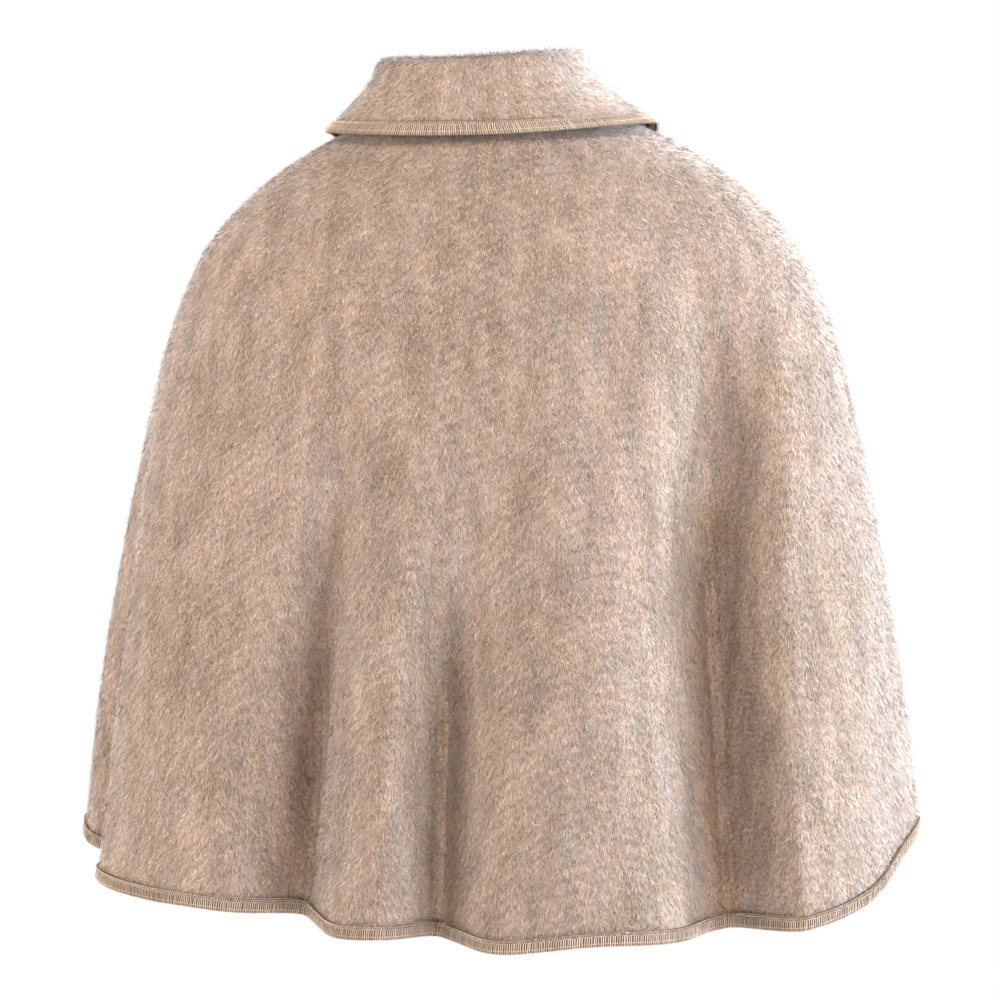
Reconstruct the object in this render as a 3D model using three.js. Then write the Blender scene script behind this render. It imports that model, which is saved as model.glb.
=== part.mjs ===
// A short cape of brushed wool with a turned-down collar and whipped edges, in its worn form, hollow and
// held up by nobody. Millimetres, +Z up. The wearer faces -Y, so the back lies towards +Y. The origin is the
// middle of the neck opening, at the height where the collar's seam crosses the shoulders.
//
// Every piece is a wall of cloth on one of two surfaces. The body runs from the neck (share 0) to the hem
// (share 1), and the collar from its seam (share 0) over the roll to the fall's edge (share 1). Both are
// rings, and an angle goes round them: 0 at the centre back, 90 at the wearer's right, 180 at the centre front.
import * as THREE from 'three';

const WALL = 4; // 2 mm of felted cloth with 2 mm of nap on it
const EDGING_WALL = 3.2; // the edge is pressed flat by its stitches
const EDGING_HEIGHT = 10;
const SEAM_GAP = 0.3;

// Rings of the body, with how far each reaches at the sides, back and front, and its height there.
const BODY_RINGS = [
  { share: 0.0, sideX: 62, sideZ: 0, backY: 62, backZ: -12, frontY: 74, frontZ: -66 },
  { share: 0.1, sideX: 122, sideZ: -23, backY: 90, backZ: -60, frontY: 96, frontZ: -110 },
  { share: 0.2, sideX: 178, sideZ: -58, backY: 110, backZ: -117, frontY: 114, frontZ: -158 },
  { share: 0.3, sideX: 223, sideZ: -106, backY: 124, backZ: -177, frontY: 128, frontZ: -210 },
  { share: 0.4, sideX: 249, sideZ: -164, backY: 134, backZ: -238, frontY: 138, frontZ: -264 },
  { share: 0.5, sideX: 266, sideZ: -226, backY: 143, backZ: -299, frontY: 147, frontZ: -319 },
  { share: 0.6, sideX: 280, sideZ: -290, backY: 152, backZ: -360, frontY: 156, frontZ: -374 },
  { share: 0.7, sideX: 291, sideZ: -354, backY: 162, backZ: -421, frontY: 165, frontZ: -430 },
  { share: 0.8, sideX: 301, sideZ: -419, backY: 173, backZ: -482, frontY: 175, frontZ: -487 },
  { share: 0.9, sideX: 309, sideZ: -484, backY: 184, backZ: -543, frontY: 185, frontZ: -544 },
  { share: 1.0, sideX: 316, sideZ: -549, backY: 196, backZ: -604, frontY: 196, frontZ: -601 },
];

// Rings of the collar's inner side: up the outside of the stand, over the roll and down under the fall. Its
// back flops a little towards the wearer's left, by middleX.
const COLLAR_RINGS = [
  { share: 0.0, middleX: 0, sideX: 62, sideZ: 0, backY: 62, backZ: -12, frontY: 74, frontZ: -66 },
  { share: 0.12, middleX: 3, sideX: 59, sideZ: 6, backY: 59, backZ: -1, frontY: 71, frontZ: -57 },
  { share: 0.26, middleX: 9, sideX: 61, sideZ: 20, backY: 59, backZ: 14, frontY: 71, frontZ: -44 },
  { share: 0.38, middleX: 13, sideX: 66, sideZ: 30, backY: 62, backZ: 25, frontY: 74, frontZ: -36 },
  { share: 0.5, middleX: 14, sideX: 74, sideZ: 29, backY: 67, backZ: 25, frontY: 80, frontZ: -38 },
  { share: 0.65, middleX: 14, sideX: 83, sideZ: 12, backY: 70, backZ: 11, frontY: 85, frontZ: -54 },
  { share: 0.82, middleX: 11, sideX: 103, sideZ: -7, backY: 73, backZ: -8, frontY: 89, frontZ: -75 },
  { share: 1.0, middleX: 6, sideX: 123, sideZ: -23, backY: 78, backZ: -30, frontY: 94, frontZ: -97 },
];
const COLLAR_LIFT = 6; // the collar sits this much higher on the wearer's right
const COLLAR_LIFT_FROM = 0.4; // the share by which the lift is full

// Rings are squared ellipses with this exponent.
const SQUARENESS = 2.2;

// Height of the hem round the cape. It rises over both arms, and is lowest at the centre back.
const HEM = [
  { angle: -180, height: -600 },
  { angle: -120, height: -587 },
  { angle: -105, height: -564 },
  { angle: -90, height: -550 },
  { angle: -78, height: -567 },
  { angle: -64, height: -578 },
  { angle: -48, height: -583 },
  { angle: -34, height: -586 },
  { angle: -27, height: -591 },
  { angle: -20, height: -600 },
  { angle: -10, height: -600 },
  { angle: 4, height: -608 },
  { angle: 16, height: -602 },
  { angle: 40, height: -600 },
  { angle: 60, height: -582 },
  { angle: 71, height: -564 },
  { angle: 80, height: -549 },
  { angle: 90, height: -541 },
  { angle: 105, height: -549 },
  { angle: 122, height: -576 },
  { angle: 180, height: -600 },
];
const HEM_SHAPED_FROM = 0.35;

// Folds run down the cape as valleys, or as a low ridge where the depth is negative. A fold drifts from its
// start angle to its hem angle while its depth grows between the two shares. Its flanks' widths, towards
// smaller and larger angles, change with it from start to hem.
const FOLDS = [
  { name: 'left arm', angle: [-80, -76], from: 0.45, full: 0.92, depth: 42, before: [17, 17], after: [20, 20] },
  { name: 'left side', angle: [-100, -98], from: 0.35, full: 0.9, depth: -9, before: [60, 60], after: [40, 40] },
  { name: 'back left', angle: [-20.4, -25.7], from: 0.36, full: 0.85, depth: 46, before: [18, 27], after: [26, 36] },
  { name: 'back middle', angle: [-2, -5], from: 0.38, full: 0.82, depth: 43, before: [32, 19], after: [50, 34] },
  { name: 'back right', angle: [46, 39.5], from: 0.17, full: 0.68, depth: 56, before: [22, 46], after: [46, 24] },
  { name: 'right arm', angle: [76, 74], from: 0.55, full: 1, depth: 5, before: [30, 30], after: [30, 30] },
  { name: 'front right', angle: [124, 128], from: 0.4, full: 0.9, depth: 36, before: [24, 26], after: [36, 30] },
  { name: 'right edge', angle: [156, 152], from: 0.45, full: 0.95, depth: 28, before: [24, 24], after: [26, 26] },
  { name: 'front left', angle: [-128, -124], from: 0.4, full: 0.9, depth: 38, before: [34, 30], after: [22, 26] },
  { name: 'left edge', angle: [-154, -157], from: 0.45, full: 0.95, depth: 28, before: [24, 24], after: [26, 26] },
];

// The fronts meet at the neck and fall apart towards the hem, and the collar's ends slant away from each other.
const FRONT_HALF_GAP = { neck: 2.5, hem: 22 };
const COLLAR_HALF_GAP = { seam: 2.5, edge: 24 };
const SIDE_SEAM = 90;

// Grid steps along and across each piece.
const STEPS = { back: 60, front: 30, bodyRows: 18, collar: 44, collarRows: 10 };

const radians = THREE.MathUtils.degToRad;
const degrees = THREE.MathUtils.radToDeg;
const mix = THREE.MathUtils.lerp;
const ease = (x) => THREE.MathUtils.smoothstep(x, 0, 1);

// A smooth curve through one column of a table, at x in the table's first column.
function through(rows, argument, column, x) {
  const last = rows.length - 1;
  const at = (i) => rows[i][argument];
  const rise = (i) => (rows[i + 1][column] - rows[i][column]) / (at(i + 1) - at(i));
  const slope = (i) => {
    if (i === 0 || i === last) return rise(Math.min(i, last - 1));
    const before = at(i) - at(i - 1);
    const after = at(i + 1) - at(i);
    return (before * rise(i) + after * rise(i - 1)) / (before + after);
  };
  let i = 0;
  while (i < last - 1 && x >= at(i + 1)) i += 1;
  const width = at(i + 1) - at(i);
  const f = THREE.MathUtils.clamp((x - at(i)) / width, 0, 1);
  const start = rows[i][column];
  const end = rows[i + 1][column];
  return (
    (2 * f ** 3 - 3 * f ** 2 + 1) * start +
    (f ** 3 - 2 * f ** 2 + f) * width * slope(i) +
    (3 * f ** 2 - 2 * f ** 3) * end +
    (f ** 3 - f ** 2) * width * slope(i + 1)
  );
}

// A point of a surface's ring, with the direction that faces away from the ring's middle.
function ringPoint(rings, angle, share) {
  const of = (column) => through(rings, 'share', column, share);
  const sine = Math.sin(radians(angle));
  const cosine = Math.cos(radians(angle));
  const half = cosine >= 0 ? { reach: of('backY'), height: of('backZ') } : { reach: of('frontY'), height: of('frontZ') };
  const side = { reach: of('sideX'), height: of('sideZ') };
  const squared = (Math.abs(sine) ** SQUARENESS + Math.abs(cosine) ** SQUARENESS) ** (-1 / SQUARENESS);
  const height = mix(side.height, half.height, cosine ** 2);
  return {
    point: new THREE.Vector3(-side.reach * sine * squared, half.reach * cosine * squared, height),
    outward: new THREE.Vector3(-sine / side.reach, cosine / half.reach, 0).normalize(),
    radius: (turn) => Math.hypot(side.reach * Math.cos(radians(turn)), half.reach * Math.sin(radians(turn))),
  };
}

// How far a fold pushes the cloth in at a place on the body.
function foldDepth(fold, ring, angle, share) {
  const grown = ease((share - fold.from) / (fold.full - fold.from));
  const grownTo = ([start, hem]) => mix(start, hem, grown);
  const middle = grownTo(fold.angle);
  const turn = THREE.MathUtils.euclideanModulo(angle - middle + 180, 360) - 180;
  const distance = radians(turn) * ring.radius(middle);
  const width = grownTo(distance < 0 ? fold.before : fold.after);
  return fold.depth * grown * Math.exp(-((distance / width) ** 2));
}

// The body's outer side.
function body(angle, share) {
  const ring = ringPoint(BODY_RINGS, angle, share);
  const turn = THREE.MathUtils.euclideanModulo(angle + 180, 360) - 180;
  const plainHem = ringPoint(BODY_RINGS, angle, 1).point.z;
  const shaped = ease((share - HEM_SHAPED_FROM) / (1 - HEM_SHAPED_FROM));
  ring.point.z += (through(HEM, 'angle', 'height', turn) - plainHem) * shaped;
  const inward = FOLDS.reduce((sum, fold) => sum + foldDepth(fold, ring, angle, share), 0);
  return ring.point.addScaledVector(ring.outward, -inward);
}

// The collar's inner side, which carries on from the body's outer side.
function collar(angle, share) {
  const { point } = ringPoint(COLLAR_RINGS, angle, share);
  const towardsFront = Math.max(-Math.cos(radians(angle)), 0);
  point.x += through(COLLAR_RINGS, 'share', 'middleX', share) * (1 - ease(towardsFront));
  const towardsRight = (1 + Math.sin(radians(angle))) / 2;
  point.z += COLLAR_LIFT * towardsRight * ease(share / COLLAR_LIFT_FROM);
  return point;
}

// How fast a surface runs, in millimetres for a degree round it and for its whole share.
function along(surface, angle, share) {
  const step = { angle: 0.02, share: 0.001 };
  const up = Math.max(share - step.share, 0);
  const down = Math.min(share + step.share, 1);
  const round = surface(angle + step.angle, share).sub(surface(angle - step.angle, share));
  const fall = surface(angle, down).sub(surface(angle, up));
  return { round: round.divideScalar(2 * step.angle), fall: fall.divideScalar(down - up) };
}

function facing(surface, angle, share) {
  const { round, fall } = along(surface, angle, share);
  return fall.cross(round).normalize();
}

const bodyFacing = (angle, share) => facing(body, angle, share);

// The stand's foot lies face to face with the neck edge, and turns up from there.
const STAND_FOOT = 0.12;
function collarFacing(angle, share) {
  const foot = bodyFacing(angle, 0).negate();
  return foot.lerp(facing(collar, angle, share), ease(share / STAND_FOOT)).normalize();
}

// A closed wall of cloth. place gives the angle and share of a grid point from how far it lies along and
// across the piece, and the wall reaches from rise to fall along the way that the cloth faces.
function clothWall({ surface, face, place, columns, rows, rise, fall }) {
  const positions = [];
  for (const offset of [rise, fall]) {
    for (let j = 0; j <= rows; j += 1) {
      for (let i = 0; i <= columns; i += 1) {
        const [angle, share] = place(i / columns, j / rows);
        const point = surface(angle, share).addScaledVector(face(angle, share), offset);
        positions.push(point.x, point.y, point.z);
      }
    }
  }
  const width = columns + 1;
  const outer = (i, j) => j * width + i;
  const inner = (i, j) => outer(i, j) + width * (rows + 1);
  const index = [];
  const quad = (a, b, c, d) => index.push(a, b, c, a, c, d);
  for (let j = 0; j < rows; j += 1) {
    for (let i = 0; i < columns; i += 1) {
      quad(outer(i, j), outer(i, j + 1), outer(i + 1, j + 1), outer(i + 1, j));
      quad(inner(i, j), inner(i + 1, j), inner(i + 1, j + 1), inner(i, j + 1));
    }
    quad(outer(0, j), inner(0, j), inner(0, j + 1), outer(0, j + 1));
    quad(outer(columns, j), outer(columns, j + 1), inner(columns, j + 1), inner(columns, j));
  }
  for (let i = 0; i < columns; i += 1) {
    quad(outer(i, 0), outer(i + 1, 0), inner(i + 1, 0), inner(i, 0));
    quad(outer(i, rows), inner(i, rows), inner(i + 1, rows), outer(i + 1, rows));
  }
  const geometry = new THREE.BufferGeometry();
  geometry.setAttribute('position', new THREE.Float32BufferAttribute(positions, 3));
  geometry.setIndex(index);
  geometry.computeVertexNormals();
  return geometry;
}

const bodyWall = { surface: body, face: bodyFacing, rise: 0, fall: -WALL };
const bodyEdging = { surface: body, face: bodyFacing, rise: (EDGING_WALL - WALL) / 2, fall: -(EDGING_WALL + WALL) / 2 };
const collarWall = { surface: collar, face: collarFacing, rise: WALL, fall: 0 };
const collarEdging = { surface: collar, face: collarFacing, rise: (WALL + EDGING_WALL) / 2, fall: (WALL - EDGING_WALL) / 2 };

// Steps of equal angle would crowd at the sides, where the rings turn fastest.
const CROWDING = 0.0745;
const spread = (x, quarters) => x + (CROWDING / quarters) * Math.sin(quarters * Math.PI * x);

// The share at a distance above a surface's lower edge, and the angle at a distance short of another.
const aboveEdge = (surface, angle, distance) => 1 - distance / along(surface, angle, 1).fall.length();
const shortOf = (surface, angle, share, distance) =>
  angle - Math.sign(angle) * (distance / along(surface, angle, share).round.length());

// Angle of a centre-front edge that runs half a gap away from the middle.
function frontAngle(rings, share, halfGap) {
  return 180 - degrees(Math.asin(halfGap / through(rings, 'share', 'sideX', share)));
}

// The back panel and its hem edging, from one side seam to the other.
const backEnd = (share) => shortOf(body, SIDE_SEAM, share, SEAM_GAP / 2);
const backAngle = (x, share) => mix(-backEnd(share), backEnd(share), spread(x, 2));

function backPanel() {
  const place = (x, y) => {
    const share = y * aboveEdge(body, backAngle(x, 1), EDGING_HEIGHT + SEAM_GAP);
    return [backAngle(x, share), share];
  };
  return clothWall({ ...bodyWall, place, columns: STEPS.back, rows: STEPS.bodyRows });
}

function backEdging() {
  const place = (x, y) => {
    const share = mix(aboveEdge(body, backAngle(x, 1), EDGING_HEIGHT), 1, y);
    return [backAngle(x, share), share];
  };
  return clothWall({ ...bodyEdging, place, columns: STEPS.back, rows: 1 });
}

// A front panel, with an edging that runs down its front edge and round the corner along its hem. side is 1
// for the wearer's right and -1 for the left. inset is how far a line lies inside both free edges.
function frontPlace(side, inset) {
  const seam = (share) => -shortOf(body, -SIDE_SEAM, share, SEAM_GAP / 2);
  const edge = (share) => {
    const angle = frontAngle(BODY_RINGS, share, mix(FRONT_HALF_GAP.neck, FRONT_HALF_GAP.hem, share));
    return shortOf(body, angle, share, inset);
  };
  const start = (share) => 2 * SIDE_SEAM - seam(share);
  const angleAt = (x, share) => mix(start(share), edge(share), spread(x, 1));
  return (x, y) => {
    const share = y * aboveEdge(body, side * angleAt(x, 1), inset);
    return [side * angleAt(x, share), share];
  };
}

function frontPanel(side) {
  const inside = frontPlace(side, EDGING_HEIGHT + SEAM_GAP);
  const place = (x, y) => inside(side > 0 ? x : 1 - x, y);
  return clothWall({ ...bodyWall, place, columns: STEPS.front, rows: STEPS.bodyRows });
}

// A band between two insets of a piece, down its end at x = 1 and then back along its lower edge to x = 0.
function cornerBand(outside, inside, rows, columns) {
  return (s, y) => {
    const step = s * (rows + columns);
    const [x, v] = step <= rows ? [1, step / rows] : [1 - (step - rows) / columns, 1];
    const [outerAngle, outerShare] = outside(x, v);
    const [innerAngle, innerShare] = inside(x, v);
    return [mix(innerAngle, outerAngle, y), mix(innerShare, outerShare, y)];
  };
}

function frontEdging(side) {
  const band = cornerBand(frontPlace(side, 0), frontPlace(side, EDGING_HEIGHT), STEPS.bodyRows, STEPS.front);
  const place = (s, y) => band(side > 0 ? 1 - s : s, y);
  return clothWall({ ...bodyEdging, place, columns: STEPS.bodyRows + STEPS.front, rows: 1 });
}

// The collar, folded over its roll, with an edging round its lower edge and both of its ends.
const SEAM_SHARE = 0.004; // where the stand starts, a seam's gap above the neck edge

function collarPlace(inset) {
  const end = (share) => {
    const angle = frontAngle(COLLAR_RINGS, share, mix(COLLAR_HALF_GAP.seam, COLLAR_HALF_GAP.edge, share));
    return shortOf(collar, angle, share, inset);
  };
  return (x, y) => {
    const turn = 2 * x - 1;
    const bottom = aboveEdge(collar, turn * end(1), inset);
    const share = mix(SEAM_SHARE, bottom, y);
    return [turn * end(share), share];
  };
}

function collarPanel() {
  const place = collarPlace(EDGING_HEIGHT + SEAM_GAP);
  return clothWall({ ...collarWall, place, columns: STEPS.collar, rows: STEPS.collarRows });
}

function collarBand() {
  const outside = collarPlace(0);
  const inside = collarPlace(EDGING_HEIGHT);
  const columns = STEPS.collar + 2 * STEPS.collarRows;
  const place = (s, y) => {
    const step = s * columns;
    const fromEnd = Math.min(step, columns - step);
    const v = Math.min(fromEnd / STEPS.collarRows, 1);
    const x = THREE.MathUtils.clamp((step - STEPS.collarRows) / STEPS.collar, 0, 1);
    const [outerAngle, outerShare] = outside(x, v);
    const [innerAngle, innerShare] = inside(x, v);
    return [mix(innerAngle, outerAngle, y), mix(innerShare, outerShare, y)];
  };
  return clothWall({ ...collarEdging, place, columns, rows: 1 });
}

const WOOL = { color: 0xb9a48f, roughness: 0.95, metalness: 0 };
const EDGE_THREAD = { color: 0xa8927c, roughness: 0.85, metalness: 0 };

function piece(name, geometry, finish) {
  const mesh = new THREE.Mesh(geometry, new THREE.MeshStandardMaterial(finish));
  mesh.name = name;
  return mesh;
}

const cape = new THREE.Group();
cape.add(
  piece('back', backPanel(), WOOL),
  piece('front_right', frontPanel(1), WOOL),
  piece('front_left', frontPanel(-1), WOOL),
  piece('collar', collarPanel(), WOOL),
  piece('back_edging', backEdging(), EDGE_THREAD),
  piece('front_right_edging', frontEdging(1), EDGE_THREAD),
  piece('front_left_edging', frontEdging(-1), EDGE_THREAD),
  piece('collar_edging', collarBand(), EDGE_THREAD),
);

export default cape;
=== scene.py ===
"""A short cape of brushed wool in its worn form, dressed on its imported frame.

The cloth panels are thin shells on the form of their solids, with soft creases added. A nap of fine
strands lies down them, and their free edges are whipped over with thread. Lengths are in millimetres
until a mesh is made, and the studio's are in metres. An angle goes round the cape: 0 at the centre back,
90 at the wearer's right, 180 at the centre front. A share runs down the body from neck to hem, and over
the collar from its seam to the fall's edge.
"""

import math

import bpy
import numpy as np
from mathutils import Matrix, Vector


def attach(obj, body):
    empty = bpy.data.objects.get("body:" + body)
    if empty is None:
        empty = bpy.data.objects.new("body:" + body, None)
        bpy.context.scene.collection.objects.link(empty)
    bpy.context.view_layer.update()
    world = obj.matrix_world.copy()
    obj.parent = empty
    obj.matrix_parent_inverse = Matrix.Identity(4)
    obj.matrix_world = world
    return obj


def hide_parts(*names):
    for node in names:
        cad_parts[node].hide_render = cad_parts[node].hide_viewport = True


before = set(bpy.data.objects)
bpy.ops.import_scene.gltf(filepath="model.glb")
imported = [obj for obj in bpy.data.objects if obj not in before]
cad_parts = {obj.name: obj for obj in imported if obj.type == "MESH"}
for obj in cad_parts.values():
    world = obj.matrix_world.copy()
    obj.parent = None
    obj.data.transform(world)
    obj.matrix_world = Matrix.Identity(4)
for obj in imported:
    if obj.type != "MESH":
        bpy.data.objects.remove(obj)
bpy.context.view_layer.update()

MM = 0.001
WALL = 4.0  # of which the nap takes the outer part
NAP = 2.0
NAP_BED = 0.6  # how far the strands' bed lies under the nap
SEAM_GAP = 0.3
EDGING_HEIGHT = 10.0
SIDE_SEAM = 90.0
SQUARENESS = 2.2

# Rings of the body: share, side x, side z, back y, back z, front y, front z
BODY_RINGS = np.array([
    [0.0, 62, 0, 62, -12, 74, -66],
    [0.1, 122, -23, 90, -60, 96, -110],
    [0.2, 178, -58, 110, -117, 114, -158],
    [0.3, 223, -106, 124, -177, 128, -210],
    [0.4, 249, -164, 134, -238, 138, -264],
    [0.5, 266, -226, 143, -299, 147, -319],
    [0.6, 280, -290, 152, -360, 156, -374],
    [0.7, 291, -354, 162, -421, 165, -430],
    [0.8, 301, -419, 173, -482, 175, -487],
    [0.9, 309, -484, 184, -543, 185, -544],
    [1.0, 316, -549, 196, -604, 196, -601],
])

# Rings of the collar's inner side, with the same columns and then how far it flops to the wearer's left
COLLAR_RINGS = np.array([
    [0.00, 62, 0, 62, -12, 74, -66, 0],
    [0.12, 59, 6, 59, -1, 71, -57, 3],
    [0.26, 61, 20, 59, 14, 71, -44, 9],
    [0.38, 66, 30, 62, 25, 74, -36, 13],
    [0.50, 74, 29, 67, 25, 80, -38, 14],
    [0.65, 83, 12, 70, 11, 85, -54, 14],
    [0.82, 103, -7, 73, -8, 89, -75, 11],
    [1.00, 123, -23, 78, -30, 94, -97, 6],
])
COLLAR_LIFT = 6.0
COLLAR_LIFT_FROM = 0.4
STAND_FOOT = 0.12
SEAM_SHARE = 0.004

# The hem: angle, height
HEM = np.array([
    [-180, -600], [-120, -587], [-105, -564], [-90, -550], [-78, -567], [-64, -578], [-48, -583],
    [-34, -586], [-27, -591], [-20, -600], [-10, -600], [4, -608], [16, -602], [40, -600],
    [60, -582], [71, -564], [80, -549], [90, -541], [105, -549], [122, -576], [180, -600],
])
HEM_SHAPED_FROM = 0.35

# The large folds: from share, full share, depth, then pairs at start and hem: angle, width before and
# width after
FOLDS = [
    (0.45, 0.92, 42, (-80, -76), (17, 17), (20, 20)),
    (0.35, 0.90, -9, (-100, -98), (60, 60), (40, 40)),
    (0.36, 0.85, 46, (-20.4, -25.7), (18, 27), (26, 36)),
    (0.38, 0.82, 43, (-2, -5), (32, 19), (50, 34)),
    (0.17, 0.68, 56, (46, 39.5), (22, 46), (46, 24)),
    (0.55, 1.00, 5, (76, 74), (30, 30), (30, 30)),
    (0.40, 0.90, 36, (124, 128), (24, 26), (36, 30)),
    (0.45, 0.95, 28, (156, 152), (24, 24), (26, 26)),
    (0.40, 0.90, 38, (-128, -124), (34, 30), (22, 26)),
    (0.45, 0.95, 28, (-154, -157), (24, 24), (26, 26)),
]

# Soft creases over the folds: angle, drift, from share, to share, depth, width. A negative depth is a ridge.
CREASES = [
    (-62, -6, 0.22, 0.80, 2.6, 26),
    (-43.5, 5, 0.42, 0.80, -2.6, 18),
    (-37, 4, 0.26, 0.58, 2.6, 16),
    (-31, -2, 0.62, 1.10, -2.0, 14),
    (-21.8, -2, 0.26, 0.76, 6.5, 11),
    (-25.0, -4.5, 0.44, 1.20, 9.0, 9),
    (-14, -2, 0.50, 1.10, 2.4, 16),
    (-8.8, 1, 0.20, 0.60, -3.2, 18),
    (-8.8, 1, 0.44, 0.78, -2.6, 9),
    (-5.2, 1.2, 0.52, 1.14, 8.5, 8),
    (-0.8, 1, 0.60, 1.14, 5.5, 12),
    (2, -3, 0.24, 0.66, 2.6, 16),
    (14.2, -3, 0.20, 0.56, -2.6, 22),
    (13.3, 0, 0.60, 1.10, -3.0, 20),
    (24, -3, 0.40, 0.95, 2.6, 16),
    (33, 2, 0.08, 0.40, -1.8, 22),
    (36.2, 1, 0.50, 1.26, 9.0, 24),
    (41.2, 1.6, 0.36, 1.20, 10.5, 9),
    (44.6, -2, 0.14, 0.62, 4.5, 14),
    (46.4, 1.6, 0.50, 1.24, -5.0, 9),
    (56, 3, 0.42, 1.05, 2.8, 22),
    (66, 4, 0.18, 0.70, 2.4, 26),
    (100, -4, 0.30, 0.95, 3.0, 28),
    (112, 3, 0.55, 1.10, 2.4, 20),
    (140, -3, 0.30, 1.00, 2.8, 24),
    (168, 2, 0.45, 1.05, 2.0, 20),
    (-112, 4, 0.35, 1.00, 3.0, 26),
    (-141, 3, 0.30, 1.02, 2.6, 24),
    (-168, -2, 0.50, 1.08, 2.0, 20),
]

FRONT_HALF_GAP = (2.5, 22.0)  # at the neck and at the hem
COLLAR_HALF_GAP = (2.5, 24.0)  # at the seam and at the fall's edge


def ease(x):
    """3x^2 - 2x^3, flat outside 0 to 1."""
    x = np.clip(x, 0, 1)
    return x * x * (3 - 2 * x)


def mix(a, b, x):
    return a + (b - a) * x


def unit(vectors):
    return vectors / (np.linalg.norm(vectors, axis=-1, keepdims=True) + 1e-12)


def through(rows, x):
    """Smooth curves through a table's columns at x in its first: cubics whose slopes at a row are the mean of
    the rises on either side of it, each weighted by the other's width."""
    knots = rows[:, 0]
    slopes = np.gradient(rows[:, 1:], knots, axis=0)
    x = np.clip(x, knots[0], knots[-1])
    i = np.clip(np.searchsorted(knots, x, side="right") - 1, 0, len(knots) - 2)
    width = (knots[i + 1] - knots[i])[..., None]
    f = (x - knots[i])[..., None] / width
    return (
        (2 * f**3 - 3 * f**2 + 1) * rows[i, 1:]
        + (f**3 - 2 * f**2 + f) * width * slopes[i]
        + (3 * f**2 - 2 * f**3) * rows[i + 1, 1:]
        + (f**3 - f**2) * width * slopes[i + 1]
    )


def ring(rings, angle, share):
    """A squared ellipse: x and y are the side and the back or front reach times sine and cosine over the n-th
    root of |sin|^n + |cos|^n, and z goes from the side's to the middle's height with the cosine squared."""
    row = through(rings, share)
    side_x, side_z, back_y, back_z, front_y, front_z = (row[..., k] for k in range(6))
    sine, cosine = np.sin(np.radians(angle)), np.cos(np.radians(angle))
    reach = np.where(cosine >= 0, back_y, front_y)
    middle_z = np.where(cosine >= 0, back_z, front_z)
    squared = (np.abs(sine) ** SQUARENESS + np.abs(cosine) ** SQUARENESS) ** (-1 / SQUARENESS)
    x, y = -side_x * sine * squared, reach * cosine * squared
    return x, y, mix(side_z, middle_z, cosine**2), side_x, reach, row


def turn_from(angle, middle):
    """The signed angle from middle, within 180 either way."""
    return (angle - middle + 180) % 360 - 180


def valleys(angle, share, side_x, reach):
    """How far the folds and creases push the cloth in. Each is its depth, times how far it has grown, times
    exp(-(distance / width)^2) of the distance round the ring from its middle line."""
    inward = np.zeros(np.broadcast(angle, share).shape)

    def distance(middle):
        radius = np.hypot(side_x * np.cos(np.radians(middle)), reach * np.sin(np.radians(middle)))
        return np.radians(turn_from(angle, middle)) * radius

    for begins, full, depth, middle, before, after in FOLDS:
        grown = ease((share - begins) / (full - begins))
        away = distance(mix(*middle, grown))
        width = np.where(away < 0, mix(*before, grown), mix(*after, grown))
        inward += depth * grown * np.exp(-((away / width) ** 2))
    for middle, drift, begins, ends, depth, width in CREASES:
        along = (share - begins) / (ends - begins)
        grown = np.sin(np.pi * np.clip(along, 0, 1)) ** 2
        away = distance(middle + drift * (along - 0.5))
        inward += depth * grown * np.exp(-((away / width) ** 2))
    return inward


def body(angle, share):
    """The body's outer side: its ring, with the hem's height eased in and the valleys pushed in."""
    angle, share = np.broadcast_arrays(np.asarray(angle, float), np.asarray(share, float))
    x, y, z, side_x, reach, _ = ring(BODY_RINGS, angle, share)
    plain_hem = ring(BODY_RINGS, angle, np.ones_like(share))[2]
    shaped = ease((share - HEM_SHAPED_FROM) / (1 - HEM_SHAPED_FROM))
    z = z + (through(HEM, turn_from(angle, 0))[..., 0] - plain_hem) * shaped
    sine, cosine = np.sin(np.radians(angle)), np.cos(np.radians(angle))
    outward = unit(np.stack([-sine / side_x, cosine / reach], -1))
    inward = valleys(angle, share, side_x, reach)
    return np.stack([x - outward[..., 0] * inward, y - outward[..., 1] * inward, z], -1)


def collar(angle, share):
    """The collar's inner side: its ring, flopped to one side at the back and lifted on the other."""
    angle, share = np.broadcast_arrays(np.asarray(angle, float), np.asarray(share, float))
    x, y, z, _, _, row = ring(COLLAR_RINGS, angle, share)
    towards_front = np.maximum(-np.cos(np.radians(angle)), 0)
    x = x + row[..., 6] * (1 - ease(towards_front))
    towards_right = (1 + np.sin(np.radians(angle))) / 2
    z = z + COLLAR_LIFT * towards_right * ease(share / COLLAR_LIFT_FROM)
    return np.stack([x, y, z], -1)


def along(surface, angle, share):
    """How a surface runs: millimetres for a degree round it and for its whole share."""
    turn, slide = 0.02, 0.001
    up, down = np.maximum(share - slide, 0), np.minimum(share + slide, 1)
    round_it = (surface(angle + turn, share) - surface(angle - turn, share)) / (2 * turn)
    fall = (surface(angle, down) - surface(angle, up)) / (down - up)[..., None]
    return round_it, fall


def facing(surface, angle, share):
    """The way that the visible side faces. The stand's foot turns up from the neck edge."""
    round_it, fall = along(surface, angle, share)
    out = unit(np.cross(fall, round_it))
    if surface is not collar:
        return out
    at_neck = along(body, angle, np.zeros_like(share))
    foot = -unit(np.cross(at_neck[1], at_neck[0]))
    return unit(mix(foot, out, ease(share / STAND_FOOT)[..., None]))


def above_edge(surface, angle, distance):
    """The share at a distance above a surface's lower edge."""
    fall = along(surface, angle, np.ones_like(angle))[1]
    return 1 - distance / np.linalg.norm(fall, axis=-1)


def short_of(surface, angle, share, distance):
    """The angle at a distance short of another, towards the centre back."""
    round_it = along(surface, angle, share)[0]
    return angle - np.sign(angle) * distance / np.linalg.norm(round_it, axis=-1)


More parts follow.
